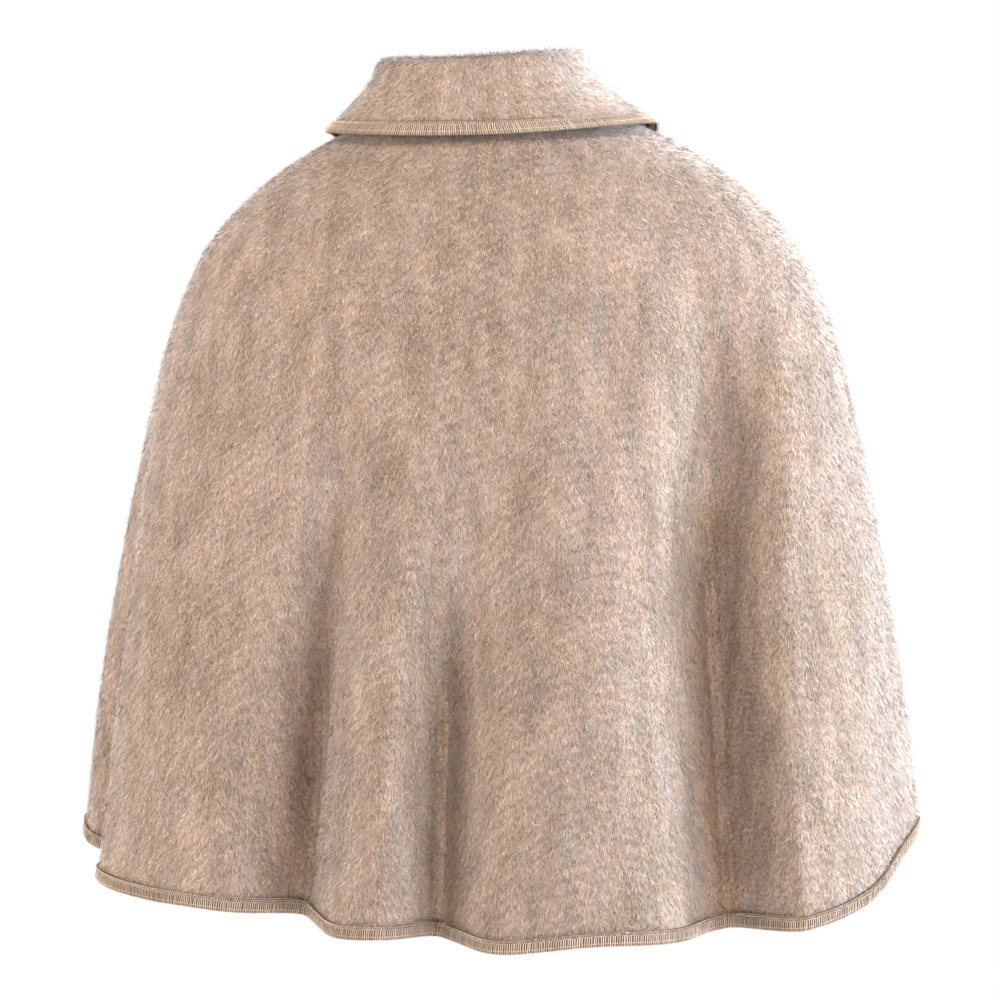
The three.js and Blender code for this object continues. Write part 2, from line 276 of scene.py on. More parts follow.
FOLD_SHADE_RANGE = (15.0, 45.0)  # how far in the cloth begins to lie in a fold, and how much further it lies deep in it: where the nap's painted fold shade begins and where it is full


def hollow(panel, angle, share):
    """How deep in a fold the cloth lies, from 0 to 1: the mask of the nap's painted fold shade."""
    if panel.surface is collar:
        return np.zeros_like(share)
    side_x, reach = ring(BODY_RINGS, angle, share)[3:5]
    return ((valleys(angle, share, side_x, reach) - FOLD_SHADE_RANGE[0]) / FOLD_SHADE_RANGE[1]).clip(0, 1)


def front_angle(rings, share, half_gap):
    """Angle of a centre-front edge that runs half a gap away from the middle."""
    return 180 - np.degrees(np.arcsin(half_gap / through(rings, share)[..., 0]))


CROWDING = 0.0745


def spread(x, quarters):
    """x + c / q * sin(q * pi * x), which evens out steps that would crowd at the sides."""
    return x + CROWDING / quarters * np.sin(quarters * np.pi * x)


class Panel:
    """A cut piece of cloth. Its place() gives the angle and share of a point that lies x along it, towards
    the wearer's right at the back, and y down it, inset from its free edges. top is where its visible face
    lies from its surface, and border the corners of its free edge, in x and y. hang says how far its nap
    turns from the way the cloth runs to straight down."""

    hang = 0.7

    def __init__(self, name, surface, border, top=0.0):
        self.name, self.surface, self.border, self.top = name, surface, border, top

    def at(self, angle, share, offset):
        """The point that lies an offset out from the visible face."""
        out = facing(self.surface, angle, share)
        return self.surface(angle, share) + out * np.asarray(self.top + offset)[..., None]


class Back(Panel):
    def place(self, x, y, inset):
        def side(share):
            return short_of(body, np.full_like(share, SIDE_SEAM), share, SEAM_GAP / 2)

        across = 2 * spread(x, 2) - 1
        share = y * above_edge(body, across * SIDE_SEAM, inset)
        return across * side(share), share


class Front(Panel):
    """side is 1 for the wearer's right and -1 for the left, whose x runs from its front edge to its seam."""

    def __init__(self, name, border, side):
        super().__init__(name, body, border)
        self.side = side

    def place(self, x, y, inset):
        x = spread(x if self.side > 0 else 1 - x, 1)

        def turned(share):
            seam = 2 * SIDE_SEAM - short_of(body, np.full_like(share, SIDE_SEAM), share, SEAM_GAP / 2)
            edge = front_angle(BODY_RINGS, share, mix(*FRONT_HALF_GAP, share))
            return mix(seam, short_of(body, edge, share, inset), x)

        share = y * above_edge(body, self.side * turned(np.ones_like(x)), inset)
        return self.side * turned(share), share


class Collar(Panel):
    hang = 0.0

    def place(self, x, y, inset):
        def end(share):
            edge = front_angle(COLLAR_RINGS, share, mix(*COLLAR_HALF_GAP, share))
            return short_of(collar, edge, share, inset)

        turn = 2 * x - 1
        share = mix(SEAM_SHARE, above_edge(collar, turn * end(np.ones_like(x)), inset), y)
        return turn * end(share), share


BACK = Back("back", body, [(0, 1), (1, 1)])
FRONT_RIGHT = Front("front_right", [(0, 1), (1, 1), (1, 0)], 1)
FRONT_LEFT = Front("front_left", [(0, 0), (0, 1), (1, 1)], -1)
COLLAR = Collar("collar", collar, [(0, 0), (0, 1), (1, 1), (1, 0)], WALL)


def waves(points, length, seed, count=10):
    """Slow noise from -1 to 1 or so: a mean of sines along random directions, each about a length long."""
    rng = np.random.default_rng(seed)
    pushes = unit(rng.normal(size=(count, 3))) * (2 * np.pi / length) * rng.uniform(0.6, 1.6, (count, 1))
    phases = rng.uniform(0, 2 * np.pi, count)
    return np.sin(points @ pushes.T + phases).sum(-1) * math.sqrt(2 / count)


def make_piece(name, points, faces, material):
    """A mesh piece from its points in millimetres and its faces, an array of equal rows of point numbers."""
    mesh = bpy.data.meshes.new(name)
    corners = faces.shape[1]
    mesh.vertices.add(len(points))
    mesh.vertices.foreach_set("co", np.ascontiguousarray(points * MM, np.float32).ravel())
    mesh.loops.add(faces.size)
    mesh.loops.foreach_set("vertex_index", np.ascontiguousarray(faces, np.int32).ravel())
    mesh.polygons.add(len(faces))
    mesh.polygons.foreach_set("loop_start", np.arange(0, faces.size, corners, dtype=np.int32))
    mesh.update(calc_edges=True)
    mesh.polygons.foreach_set("use_smooth", np.full(len(mesh.polygons), True))
    mesh.materials.append(material)
    piece = bpy.data.objects.new(name, mesh)
    bpy.context.scene.collection.objects.link(piece)
    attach(piece, "root")
    return piece


def add_uv(piece, name, uv):
    """A UV map from one pair of numbers for each face corner."""
    layer = piece.data.uv_layers.new(name=name)
    layer.uv.foreach_set("vector", np.ascontiguousarray(uv, np.float32).ravel())


def add_value(piece, name, values):
    """A number for each point, which the material reads by name."""
    layer = piece.data.attributes.new(name, "FLOAT", "POINT")
    layer.data.foreach_set("value", np.ascontiguousarray(values, np.float32).ravel())


def grid_faces(columns, rows, first=0, flipped=False):
    """Quads of a grid whose points are numbered along its rows, from first."""
    j, i = np.meshgrid(np.arange(rows), np.arange(columns), indexing="ij")
    a = first + j * (columns + 1) + i
    quads = np.stack([a, a + columns + 1, a + columns + 2, a + 1], -1).reshape(-1, 4)
    return quads[:, ::-1] if flipped else quads


def cloth_shell(panel, columns, rows, material):
    """A closed shell: the grid of the felted cloth's outer side, under the nap, the same grid a cloth's
    thickness further in, and a strip of quads round their border."""
    y, x = np.meshgrid(np.linspace(0, 1, rows + 1), np.linspace(0, 1, columns + 1), indexing="ij")
    angle, share = panel.place(x, y, EDGING_HEIGHT + SEAM_GAP)
    outer = panel.at(angle, share, np.full_like(x, -NAP - NAP_BED))
    inner = panel.at(angle, share, np.full_like(x, -WALL))
    points = np.concatenate([outer.reshape(-1, 3), inner.reshape(-1, 3)])
    half = (columns + 1) * (rows + 1)
    numbers = np.arange(half).reshape(rows + 1, columns + 1)
    rim = np.concatenate([numbers[0, :-1], numbers[:-1, -1], numbers[-1, :0:-1], numbers[:0:-1, 0]])
    after = np.roll(rim, -1)
    border = np.stack([rim, after, after + half, rim + half], -1)
    faces = np.concatenate([grid_faces(columns, rows), grid_faces(columns, rows, half, True), border])
    shell = make_piece(panel.name + "_cloth", points, faces, material)
    across = np.linalg.norm(np.diff(outer, axis=1), axis=-1).sum(1).mean() * x
    down = np.linalg.norm(np.diff(outer, axis=0), axis=-1).sum(0).mean() * y
    flat = np.stack([across, down], -1).reshape(-1, 2) * MM
    add_uv(shell, "Cloth", np.tile(flat, (2, 1))[faces.ravel()])
    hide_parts(panel.name)
    return shell


NAP_LENGTH = (2.6, 6.2)
NAP_WIDTH = (0.4, 0.85)  # of a strand at its root, for a pitch of 1
NAP_TURN = 0.38  # how far chance turns a strand, in radians
NAP_SWIRLS = ((0.06, 90, 11), (0.10, 34, 12), (0.20, 9, 13))  # its slow turns: radians, how long, seed
NAP_LIFT = 6.0  # a third of the mean angle at which strands leave the cloth, in degrees
NAP_LIFT_LIMITS = (4, 65)  # in degrees
NAP_ROLL = 0.35  # how far chance rolls a strand about its own length, in radians
NAP_ROOT = 0.52  # lightness at the root: painted shade, where the strands shade each other
NAP_TIP = 1.12  # lightness at the tip, where the painted root shade has gone
NAP_TONE = 0.29  # how unlike its neighbours a strand is in lightness
NAP_FLECK = (0.6, 6, 14)  # its slow changes of lightness: size, how long, seed
STRAY_SHARE = 0.04  # of the strands, finer and standing further off
STRAY_WIDTH = 0.3
STRAY_LIFT = (0.1, 0.5)  # in radians
ROOT_DEPTH = 0.2  # how far the roots reach into the felted cloth
NORMAL_SPREAD = 0.18  # how far a strand's shading turns to its side
NORMAL_LEAN = 0.15  # and along it
CELL_JITTER = (0.02, 0.98)
EDGE_OVERHANG = 3.0  # how far the last strands lie over the edging
SHORTEST = 2.0  # of the strands there


def strip_sizes(panel, band, inset):
    """How wide a panel is at each of some shares down a band of it, and how long the band is."""
    y, x = np.meshgrid(np.linspace(*band, 40), np.linspace(0, 1, 160), indexing="ij")
    patch = panel.surface(*panel.place(x, y, inset))
    widths = np.linalg.norm(np.diff(patch, axis=1), axis=-1).sum(1)
    return y[:, 0], widths, np.linalg.norm(np.diff(patch, axis=0), axis=-1).sum(0).mean()


def nap_cells(panel, pitch, band, rng):
    """Where a band's strands grow: one in each cell of a jittered grid, thinned where the panel is narrow.
    Gives the cells' columns and rows, the grid's size, and the angles and shares."""
    shares, widths, height = strip_sizes(panel, band, EDGING_HEIGHT)
    columns, rows = int(widths.max() / pitch), int(height / pitch)
    j, i = (k.ravel() for k in np.meshgrid(np.arange(rows), np.arange(columns), indexing="ij"))
    x = (i + rng.uniform(*CELL_JITTER, i.size)) / columns
    y = mix(*band, (j + rng.uniform(*CELL_JITTER, i.size)) / rows)
    kept = rng.uniform(size=i.size) < np.interp(y, shares, widths) / widths.max()
    angle, share = panel.place(x[kept], y[kept], EDGING_HEIGHT)
    return np.stack([i, j], -1)[kept], (columns, rows), angle, share


def nap_lie(panel, roots, fall, out, rng):
    """The way each strand lies along the cloth: down it, turned by slow swirls and some chance."""
    plumb = unit(np.array([0.0, 0.0, -1.0]) + out * out[:, 2:])
    down = unit(mix(unit(fall), plumb, panel.hang))
    side = unit(np.cross(out, down))
    swirl = sum(size * waves(roots, length, seed) for size, length, seed in NAP_SWIRLS)
    turn = swirl + rng.normal(0, NAP_TURN, len(roots))
    return np.cos(turn)[:, None] * down + np.sin(turn)[:, None] * side


def nap(panel, name, pitch, seed, material, band=(0.0, 1.0)):
    """A nap of fine slivers, each a triangle from a narrow root to a point, that leaves the cloth at a low
    lift. None reaches far over the edging."""
    rng = np.random.default_rng(seed)
    pitch = pitch * 1.0
    cells, grid, angle, share = nap_cells(panel, pitch, band, rng)
    count = len(cells)
    fall = along(panel.surface, angle, share)[1]
    out = facing(panel.surface, angle, share)
    roots = panel.surface(angle, share) + out * (panel.top - NAP - NAP_BED - ROOT_DEPTH)
    lie = nap_lie(panel, roots, fall, out, rng)
    lift = np.radians(rng.gamma(3.0, NAP_LIFT, count).clip(*NAP_LIFT_LIMITS))
    length = rng.uniform(*NAP_LENGTH, count)
    stray = rng.uniform(size=count) < STRAY_SHARE
    lift = np.where(stray, lift + rng.uniform(*STRAY_LIFT, count), lift)
    to_edge = (1 - share) * np.linalg.norm(fall, axis=-1)
    length = np.minimum(length, np.maximum(to_edge - EDGING_HEIGHT + EDGE_OVERHANG, SHORTEST))
    width = np.where(stray, STRAY_WIDTH, rng.uniform(*NAP_WIDTH, count))
    thick = width * pitch
    way = np.cos(lift)[:, None] * lie + np.sin(lift)[:, None] * out
    roll = rng.normal(0, NAP_ROLL, count)[:, None]
    wide = unit(np.cross(way, out)) * np.cos(roll) + out * np.sin(roll)
    half = wide * (thick / 2)[:, None]
    tips = roots + way * length[:, None]
    points = np.stack([roots - half, roots + half, tips], 1).reshape(-1, 3)
    piece = make_piece(name, points, np.arange(len(points)).reshape(-1, 3), material)
    fleck, fleck_length, fleck_seed = NAP_FLECK
    tone = rng.normal(0, 1, count) + fleck * waves(roots, fleck_length, fleck_seed)
    # Painted shade: each strand darker at its root than at its tip, with its own random tone on top.
    root_tone = NAP_ROOT * (1 + 0.6 * NAP_TONE * tone)
    shade = np.stack([root_tone, root_tone, NAP_TIP + NAP_TONE * tone], 1).clip(0.25, 1.7)
    add_value(piece, "shade", shade)
    add_value(piece, "tint", np.repeat(rng.uniform(0, 1, count), 3))
    # Painted shade deep in the folds: how far into a fold each strand lies.
    add_value(piece, "hollow", np.repeat(hollow(panel, angle, share), 3))
    soft = unit(out + NORMAL_SPREAD * wide * rng.normal(0, 1, (count, 1)) + NORMAL_LEAN * way)
    piece.data.normals_split_custom_set_from_vertices(np.repeat(soft, 3, axis=0))
    in_cell = np.array([(0.1, 0.1), (0.9, 0.1), (0.5, 0.9)])
    add_uv(piece, "OFBake", (cells[:, None, :] + in_cell) / grid)
    return piece


class Edge:
    """A panel's whipped edge. at() gives the point a distance along it, c across it, from 0 at the cloth to
    1 at the very edge, and d out from the panel's visible face."""

    STEP = 1.0
    SAMPLES = 600  # along each leg of the border

    def __init__(self, panel):
        self.panel = panel
        corners = np.array(panel.border, float)
        legs = [np.linspace(a, b, self.SAMPLES, endpoint=False) for a, b in zip(corners, corners[1:])]
        line = np.concatenate([*legs, corners[-1:]])
        outer = self.point(line, 1.0)
        measure = np.concatenate([[0], np.linalg.norm(np.diff(outer, axis=0), axis=1).cumsum()])
        self.length = measure[-1]
        self.stations = np.linspace(0, self.length, int(self.length / self.STEP) + 1)
        line = np.stack([np.interp(self.stations, measure, line[:, k]) for k in range(2)], -1)
        self.base, self.rim = self.point(line, 0.0), self.point(line, 1.0)
        angle, share = panel.place(line[:, 0], line[:, 1], EDGING_HEIGHT / 2)
        self.out = facing(panel.surface, angle, share)

    def point(self, line, c):
        panel = self.panel
        inset = EDGING_HEIGHT * (1 - c)
        return panel.at(*panel.place(line[:, 0], line[:, 1], inset), np.zeros(len(line)))

    def at(self, distance, c, d):
        def lerp(values):
            return np.stack([np.interp(distance, self.stations, values[:, k]) for k in range(3)], -1)

        base, rim = lerp(self.base), lerp(self.rim)
        return base + (rim - base) * c[..., None] + lerp(self.out) * d[..., None]


# The edging's cross-section: c across it, d out from the visible face
BAND_PROFILE = np.array([
    (0.00, -0.62), (0.10, -0.36), (0.50, -0.36), (0.84, -0.50), (0.96, -1.05), (1.00, -2.00),
    (0.96, -2.90), (0.84, -3.40), (0.50, -3.55), (0.10, -3.55), (0.00, -3.30),
])
BAND_STEP = 4.0


def edge_band(edge, material):
    """The pressed cloth edge under its threads: a closed rounded profile carried along the edge."""
    steps = int(edge.length / BAND_STEP)
    station = np.linspace(0, edge.length, steps + 1)
    sides = len(BAND_PROFILE)
    along_it = np.repeat(station, sides)
    c, d = (np.tile(BAND_PROFILE[:, k], steps + 1) for k in range(2))
    points = edge.at(along_it, c, d)
    j, i = (k.ravel() for k in np.meshgrid(np.arange(steps), np.arange(sides), indexing="ij"))
    a, b = j * sides + i, j * sides + (i + 1) % sides
    quads = np.stack([a, b, b + sides, a + sides], -1)
    ends = np.stack([np.arange(sides)[::-1], np.arange(sides) + steps * sides])
    middle = points[ends].mean(1)
    first = len(points)
    points = np.concatenate([points, middle])
    caps = np.stack([
        np.stack([row, np.roll(row, -1), np.full(sides, first + k), np.full(sides, first + k)], -1)
        for k, row in enumerate(ends)
    ]).reshape(-1, 4)
    triangles = np.concatenate([quads[:, [0, 1, 2]], quads[:, [0, 2, 3]], caps[:, :3]])
    faces = outward_faces(points, triangles)
    band = make_piece(edge.panel.name + "_edge", points, faces, material)
    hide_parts(edge.panel.name + "_edging")
    return band


def outward_faces(points, triangles):
    """The triangles turned over if the closed shape that they make is inside out."""
    a, b, c = (points[triangles[:, k]] for k in range(3))
    volume = np.einsum("ij,ij->i", a, np.cross(b, c)).sum()
    return triangles if volume > 0 else triangles[:, ::-1]


THREAD_TIP = 0.25  # how far a thread's closing point lies past its last ring


def tubes(edge, starts, path, radii, sides):
    """Many short threads at once. path holds rows of (distance, c, d) from each start, and radii the half
    thickness along the edge and out of it. A ring of points is set round each row of the path, and the two
    ends are closed by a point. Gives each thread's points, and the faces."""
    path = np.asarray(path, float)
    if path.ndim == 2:
        path = np.broadcast_to(path, (len(starts), *path.shape))
    count, steps = len(starts), path.shape[1]
    distance = starts[:, None] + path[..., 0]
    across = path[..., 1], path[..., 2]
    centre = edge.at(distance, *across)
    tangent = unit(np.gradient(centre, axis=1))
    ahead = edge.at(distance + 0.5, *across) - edge.at(distance - 0.5, *across)
    first = unit(ahead - (ahead * tangent).sum(-1, keepdims=True) * tangent)
    second = np.cross(tangent, first)
    turn = np.arange(sides) * 2 * np.pi / sides
    ring_points = (
        centre[:, :, None]
        + radii[0] * np.cos(turn)[:, None] * first[:, :, None]
        + radii[1] * np.sin(turn)[:, None] * second[:, :, None]
    )
    ends = [0, -1]
    caps = centre[:, ends] + tangent[:, ends] * np.array([[-THREAD_TIP], [THREAD_TIP]])
    points = np.concatenate([ring_points.reshape(count, -1, 3), caps], 1)
    size = steps * sides + 2
    j, i = (k.ravel() for k in np.meshgrid(np.arange(steps - 1), np.arange(sides), indexing="ij"))
    a, b = j * sides + i, j * sides + (i + 1) % sides
    quads = np.concatenate([np.stack([a, b, b + sides], -1), np.stack([a, b + sides, a + sides], -1)])
    k = np.arange(sides)
    start_cap = np.stack([np.full(sides, size - 2), (k + 1) % sides, k], -1)
    last = (steps - 1) * sides
    end_cap = np.stack([np.full(sides, size - 1), last + k, last + (k + 1) % sides], -1)
    one = np.concatenate([quads, start_cap, end_cap])
    return points, (one[None] + (np.arange(count) * size)[:, None, None]).reshape(-1, 3)


STITCH_PITCH = 1.68
THREAD_TONE = 0.13  # how unlike its neighbours a stitch is in lightness

# Paths of the threads at one stitch: distance along the edge, c and d. A loop arches over each needle hole,
# and a bar goes from the upper line of thread round the edge to the inner face.
LOOP = [(-0.80, 0.25, -0.30), (-0.36, 0.07, 0.0), (0.36, 0.07, 0.0), (0.80, 0.25, -0.30)]
BAR = [
    (0.22, 0.30, -0.20), (0.04, 0.58, 0.02), (-0.06, 0.86, -0.12), (-0.08, 1.03, -1.20),
    (-0.08, 1.02, -2.80), (0.16, 0.40, -3.75),
]
INNER_LOOP = [(-1.5, 0.32, -3.65), (0.0, 0.29, -3.90), (1.5, 0.32, -3.65)]
LINES = (0.285, 0.80)  # where the two lines of thread run along the edge
LINE_HEIGHT = 0.12
LINE_WANDER = (0.012, 0.04)  # how uneven they are, across the edge and out of it
STITCH_WANDER = 0.10  # how uneven the stitches are along the edge
PATH_WANDER = (0.12, 0.05)  # and each point of their paths, along it and out of it

# Half thicknesses of the threads, along the edge and out of it
BAR_RADII = (0.40, 0.26)
LOOP_RADII = (0.27, 0.27)
INNER_LOOP_RADII = (0.3, 0.3)
LINE_RADII = (0.30, 0.28)


def thread_line(edge, c, rng):
    """A line of thread along the whole edge: one tube, a little uneven in its course and height."""
    station = np.arange(0.5, edge.length - 0.5, STITCH_PITCH)
    wander = rng.normal(0, LINE_WANDER[0], station.size)
    height = LINE_HEIGHT + rng.normal(0, LINE_WANDER[1], station.size)
    path = np.stack([station, c + wander, height], -1)[None]
    return tubes(edge, np.zeros(1), path, LINE_RADII, 4)


def stitches(edge, seed, material):
    """Thread whipped over an edge: a row of loops, two lines of thread, and bars that go round the edge. Each
    stitch has its own lightness, and a line changes its own from point to point."""
    rng = np.random.default_rng(seed)
    starts = np.arange(STITCH_PITCH, edge.length - STITCH_PITCH / 2, STITCH_PITCH)
    starts = starts + rng.normal(0, STITCH_WANDER, starts.size)

    def uneven(path):
        paths = np.broadcast_to(np.array(path), (starts.size, len(path), 3)).copy()
        paths[..., 0] += rng.normal(0, PATH_WANDER[0], paths.shape[:2])
        paths[..., 2] += rng.normal(0, PATH_WANDER[1], paths.shape[:2])
        return paths

    sewn = [
        tubes(edge, starts, uneven(BAR), BAR_RADII, 4),
        tubes(edge, starts, uneven(LOOP), LOOP_RADII, 3),
        tubes(edge, starts[::2], uneven(INNER_LOOP)[::2], INNER_LOOP_RADII, 3),
    ]
    lines = [thread_line(edge, c, rng) for c in LINES]
    tones = [np.repeat(rng.normal(1, THREAD_TONE, len(points)), points.shape[1]) for points, _ in sewn]
    tones += [rng.normal(1, THREAD_TONE, points.shape[1]) for points, _ in lines]
    groups = [(points.reshape(-1, 3), faces) for points, faces in sewn + lines]
    offsets = np.cumsum([0] + [len(points) for points, _ in groups[:-1]])
    points = np.concatenate([points for points, _ in groups])
    faces = np.concatenate([faces + offset for (_, faces), offset in zip(groups, offsets)])
    piece = make_piece(edge.panel.name + "_stitches", points, faces, material)
    add_value(piece, "tone", np.concatenate(tones).clip(0.6, 1.4))
    return piece


class Value:
    """A number socket that takes part in Python sums by adding Math nodes."""

    def __init__(self, nodes, socket):
        self.nodes, self.socket = nodes, socket

    def _maths(self, operation, *values):
        node = self.nodes.add("ShaderNodeMath", {"operation": operation}, *values)
        return Value(self.nodes, node.outputs[0])

    def __add__(self, other):
        return self._maths("ADD", self, other)

    def __sub__(self, other):
        return self._maths("SUBTRACT", self, other)

    def __rsub__(self, other):
        return self._maths("SUBTRACT", other, self)

    def __mul__(self, other):
        return self._maths("MULTIPLY", self, other)

    __radd__, __rmul__ = __add__, __mul__


class Nodes:
    """The nodes of a material or of the world. add() takes a node's type, its settings and its sockets'
    values or links, by place or by name."""

    def __init__(self, owner):
        owner.use_nodes = True
        self.owner, self.tree = owner, owner.node_tree

    def put(self, socket, value):
        if isinstance(value, Value):
            value = value.socket
        if isinstance(value, bpy.types.NodeSocket):
            self.tree.links.new(value, socket)
        elif socket.type == "RGBA":
            socket.default_value = (*value[:3], 1.0)
        else:
            socket.default_value = value

    def add(self, kind, settings=None, *values, **named):
        node = self.tree.nodes.new(kind)
        for key, setting in (settings or {}).items():
            if key == "stops":
                self.set_stops(node.color_ramp, setting)
            else:
                setattr(node, key, setting)
        for socket, value in zip(node.inputs, values):
            self.put(socket, value)
        for key, value in named.items():
            self.put(node.inputs[key.replace("_", " ")], value)
        return node

    @staticmethod
    def set_stops(ramp, stops):
        while len(ramp.elements) < len(stops):
            ramp.elements.new(1.0)
        for element, (position, colour) in zip(ramp.elements, stops):
            element.position, element.color = position, (*colour, 1.0)

    def noise(self, vector, **sockets):
        return Value(self, self.add("ShaderNodeTexNoise", None, Vector=vector, **sockets).outputs["Fac"])

    def ramp(self, value, stops):
        return self.add("ShaderNodeValToRGB", {"stops": stops}, value).outputs["Color"]

    def blend(self, factor, a, b, kind="MIX"):
        settings = {"data_type": "RGBA", "blend_type": kind, "clamp_factor": True}
        node = self.add("ShaderNodeMix", settings)
        for socket, value in ((node.inputs[0], factor), (node.inputs[6], a), (node.inputs[7], b)):
            self.put(socket, value)
        return node.outputs[2]

    def scaled(self, vector, x, y, z):
        return self.add("ShaderNodeMapping", None, Vector=vector, Scale=(x, y, z)).outputs[0]

    def coordinates(self, name):
        return self.add("ShaderNodeTexCoord").outputs[name]

    def value(self, name):
        node = self.add("ShaderNodeAttribute", {"attribute_name": name})
        return Value(self, node.outputs["Fac"])

    def times(self, colour, amount):
        """A colour times a number."""
        grey = self.add("ShaderNodeCombineColor", None, amount, amount, amount).outputs[0]
        return self.blend(1.0, colour, grey, "MULTIPLY")

    def finish(self, colour, **sockets):
        """The material, with its colour and its shader's other sockets set."""
        shader = self.tree.nodes["Principled BSDF"]
        self.put(shader.inputs["Base Color"], colour)
        for key, value in sockets.items():
            self.put(shader.inputs[key.replace("_", " ")], value)
        return self.owner


def material_nodes(name):
    return Nodes(bpy.data.materials.new(name))


# Colours of the melange, as linear light
OCHRE = (0.484, 0.325, 0.219)
BEIGE = (0.514, 0.368, 0.275)
PINK = (0.547, 0.376, 0.304)
GREY = (0.490, 0.397, 0.327)
PALE = (0.638, 0.527, 0.443)
PAINTED_FOLD_SHADE = (0.80, 0.66, 0.55)  # painted fold shade: what light keeps deep in a fold, multiplied into the nap's colour there
THREAD = (0.500, 0.368, 0.280)
THREAD_SHADOW = (0.096, 0.063, 0.043)


def melange(nodes):
    """The wool's colour: small patches of its four tones, three or four times as long down the cloth as
    across, a drift of the whole towards ochre and back, and a mottling of its lightness in like patches."""
    place = nodes.coordinates("Object")
    streaked = nodes.scaled(place, 1, 1, 0.28)
    patches = nodes.noise(streaked, Scale=74.0, Detail=3.0, Roughness=0.65, Distortion=0.3)
    drift = nodes.noise(nodes.scaled(place, 1, 1, 0.5), Scale=13.0, Detail=2.0, Roughness=0.5)
    tone = patches + 0.42 * (drift - 0.5)
    colour = nodes.ramp(tone, [(0.30, OCHRE), (0.46, BEIGE), (0.56, PINK), (0.70, GREY)])
    mottle = nodes.noise(streaked, Scale=56.0, Detail=2.0, Roughness=0.6)
    return nodes.times(colour, 0.10 + 1.40 * mottle + 0.40 * drift)


def wool_cloth():
    """The felted cloth under the nap: the melange, darkened as painted shade where the nap covers it, with
    fine streaks down it.
    """
    nodes = material_nodes("wool_cloth")
    flat = nodes.add("ShaderNodeUVMap", {"uv_map": "Cloth"}).outputs[0]
    streaks = nodes.noise(nodes.scaled(flat, 850, 420, 1), Scale=1.0, Detail=3.0, Roughness=0.7)
    # Painted shade: the streaks scale the melange to about 0.6 of its lightness on average, as under the nap.
    colour = nodes.times(melange(nodes), 1.6 * streaks - 0.22)
    bump = nodes.add("ShaderNodeBump", None, Strength=0.8, Distance=0.0008)
    nodes.put(bump.inputs["Height"], streaks)
    return nodes.finish(
        colour, Normal=bump.outputs[0], Roughness=0.95, Sheen_Weight=0.25, Sheen_Roughness=0.6,
        Specular_IOR_Level=0.1,
    )


def wool_nap():
    """The nap: the melange, turned towards one of its tones strand by strand, with painted shade darkening
    the roots. Deep in a fold it has painted shade, browner, standing in for light going from strand to strand
    there."""
    nodes = material_nodes("wool_nap")
    tint = nodes.value("tint")
    strand = nodes.ramp(tint, [(0.0, OCHRE), (0.25, PINK), (0.5, BEIGE), (0.75, GREY), (1.0, PALE)])
    colour = nodes.blend(0.5, melange(nodes), strand)
    # Painted shade at the strands' roots, together with each strand's own random tone.
    colour = nodes.times(colour, nodes.value("shade"))
    # Painted shade: deeper in a fold, the colour is multiplied towards a darker brown.
    colour = nodes.blend(nodes.value("hollow"), colour, PAINTED_FOLD_SHADE, "MULTIPLY")
    return nodes.finish(
        colour, Roughness=0.9, Sheen_Weight=0.8, Sheen_Roughness=0.4, Specular_IOR_Level=0.15,
    )


def edge_cloth():
    """The pressed edge between its threads, darker than the cloth: painted shadow between the threads."""
    nodes = material_nodes("edge_cloth")
    place = nodes.coordinates("Object")
    grain = nodes.noise(place, Scale=900.0, Detail=3.0, Roughness=0.6)
    colour = nodes.blend(grain, THREAD_SHADOW, tuple(1.5 * c for c in THREAD_SHADOW))
    bump = nodes.add("ShaderNodeBump", None, Strength=0.5, Distance=0.0004)
    nodes.put(bump.inputs["Height"], grain)
    return nodes.finish(colour, Normal=bump.outputs[0], Roughness=0.95, Specular_IOR_Level=0.1)


def edge_thread():
    """Matt woollen thread, with a fine fleck and slow changes of lightness along the edge."""
    nodes = material_nodes("edge_thread")
    place = nodes.coordinates("Object")
    fleck = nodes.noise(place, Scale=1400.0, Detail=2.0, Roughness=0.6)
    drift = nodes.noise(place, Scale=60.0, Detail=2.0, Roughness=0.5)
    colour = nodes.times(THREAD, nodes.value("tone") * (0.62 + 0.42 * fleck + 0.34 * drift))
    bump = nodes.add("ShaderNodeBump", None, Strength=0.4, Distance=0.0002)
    nodes.put(bump.inputs["Height"], fleck)
    return nodes.finish(
        colour, Normal=bump.outputs[0], Roughness=0.8, Sheen_Weight=0.2, Sheen_Roughness=0.5,
        Specular_IOR_Level=0.25,
    )


def dress():
    """Every piece of the cape, each panel with its nap, edge and stitches."""
    cloth, fur, pressed, thread = wool_cloth(), wool_nap(), edge_cloth(), edge_thread()
    # Panel, shell columns and rows, nap bands, pitch of the nap's roots, how the cloth is held, its flat size
    thirds = [("upper", (0, 0.42)), ("middle", (0.42, 0.72)), ("lower", (0.72, 1))]
    whole = [("nap", (0, 1))]
    plan = [
        (BACK, 214, 84, thirds, 1.015, "draped", (0.96, 0.66), 0.43),
        (FRONT_RIGHT, 84, 70, whole, 1.6, "draped", (0.43, 0.65), 0.19),
        (FRONT_LEFT, 84, 70, whole, 1.6, "draped", (0.43, 0.65), 0.19),
        (COLLAR, 120, 28, whole, 1.0, "folded", (0.66, 0.13), 0.054),
    ]
    for seed, (panel, columns, rows, bands, pitch, held, flat, area) in enumerate(plan):
        shell = cloth_shell(panel, columns, rows, cloth)
        edge = Edge(panel)
        extras = [edge_band(edge, pressed), stitches(edge, 40 + seed, thread)]
        for k, (part, band) in enumerate(bands):
            extras.append(nap(panel, f"{panel.name}_{part}_fur", pitch, 10 * seed + k, fur, band))


def area_light(name, position, target, size, power, colour):
    data = bpy.data.lights.new(name, "AREA")
    data.shape, data.size, data.energy, data.color = "DISK", size, power, colour
    lamp = bpy.data.objects.new(name, data)
    bpy.context.scene.collection.objects.link(lamp)
    aim(lamp, position, target)


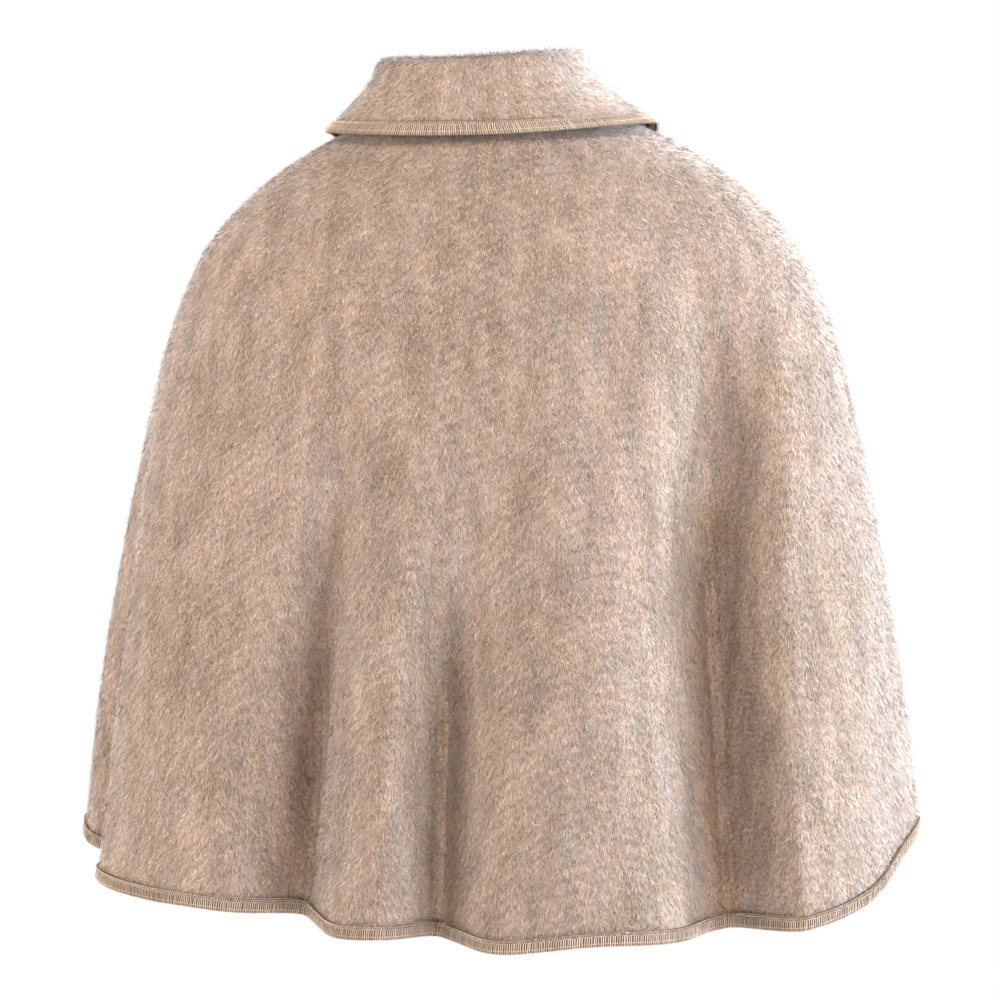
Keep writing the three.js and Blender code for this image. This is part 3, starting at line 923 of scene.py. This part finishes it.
def aim(thing, position, target):
    """Puts a lamp or camera at a position, looking at a target with +Z up."""
    thing.location = position
    thing.rotation_euler = (Vector(target) - Vector(position)).to_track_quat("-Z", "Y").to_euler()


# The photograph's camera: a long lens behind the wearer, a little to their right and just above the middle
CAMERA_AZIMUTH = 188.0
CAMERA_RISE = 3.0
CAMERA_DISTANCE = 3.0
MIDDLE = (0.0, 0.0, -0.297)
FRAME_WIDTH = 0.75  # what the 1000 pixels take in at the cape's middle
SENSOR = 36.0


def camera():
    data = bpy.data.cameras.new("camera")
    data.sensor_width = SENSOR
    data.lens = SENSOR * CAMERA_DISTANCE / FRAME_WIDTH
    eye = bpy.data.objects.new("camera", data)
    bpy.context.scene.collection.objects.link(eye)
    position = np.array(MIDDLE) + direction(CAMERA_AZIMUTH, CAMERA_RISE) * CAMERA_DISTANCE
    aim(eye, tuple(position), MIDDLE)
    bpy.context.scene.camera = eye


FLOOR_Z = -1.45
FLOOR_REACH = 3.2
LAMP_DISTANCE = 2.6
LAMP_SIZE = 1.2

WHITE = (1.0, 1.0, 1.0)
COOL = (0.83, 1.02, 1.24)
SLIGHTLY_COOL = (0.93, 1.01, 1.10)
WARM = (1.03, 1.0, 0.94)

# The soft lamps: name, azimuth, elevation, power, colour. The key stands on the wearer's right.
LAMPS = [
    ("right_side", 270, 5, 87, COOL),
    ("right_edge", 300, 5, 40, COOL),
    ("right_low", 240, 5, 60, SLIGHTLY_COOL),
    ("right_high", 240, 45, 12, WHITE),
    ("top_back", 180, 45, 62, WARM),
    ("left_low", 120, 5, 56, WARM),
    ("left_side", 90, 5, 21, WARM),
    ("left_edge", 60, 5, 4, WHITE),
    ("front_right", 330, 35, 54, WHITE),
    ("front_left", 30, 15, 22, WHITE),
    ("top_front", 0, 60, 38, WHITE),
]
SKY_LIGHT = 0.04  # what the white surroundings add all round


def direction(azimuth, elevation):
    """The way from the cape to a lamp or camera at an azimuth, 0 at its front and 180 at its back."""
    a, e = math.radians(azimuth), math.radians(elevation)
    return np.array([math.sin(a) * math.cos(e), -math.cos(a) * math.cos(e), math.sin(e)])


def studio():
    """A pale floor, white surroundings and soft round lamps."""
    nodes = material_nodes("floor_paper")
    floor_material = nodes.finish((0.86, 0.86, 0.86), Roughness=0.9)
    mesh = bpy.data.meshes.new("floor")
    r = FLOOR_REACH
    corners = [(-r, -r, FLOOR_Z), (r, -r, FLOOR_Z), (r, r, FLOOR_Z), (-r, r, FLOOR_Z)]
    mesh.from_pydata(corners, [], [(0, 1, 2, 3)])
    mesh.materials.append(floor_material)
    floor = bpy.data.objects.new("floor", mesh)
    bpy.context.scene.collection.objects.link(floor)
    for name, azimuth, elevation, power, colour in LAMPS:
        position = np.array(MIDDLE) + direction(azimuth, elevation) * LAMP_DISTANCE
        area_light(name, tuple(position), MIDDLE, LAMP_SIZE, power, colour)
    world = bpy.data.worlds.new("studio")
    sky = Nodes(world)
    background = sky.tree.nodes["Background"]
    sky.put(background.inputs["Color"], WHITE)
    seen = sky.add("ShaderNodeLightPath").outputs["Is Camera Ray"]
    strength = sky.add("ShaderNodeMath", {"operation": "MAXIMUM"}, seen, SKY_LIGHT)
    sky.put(background.inputs["Strength"], strength.outputs[0])
    bpy.context.scene.world = world
    bpy.context.scene.view_settings.view_transform = "Standard"


camera()
dress()
studio()
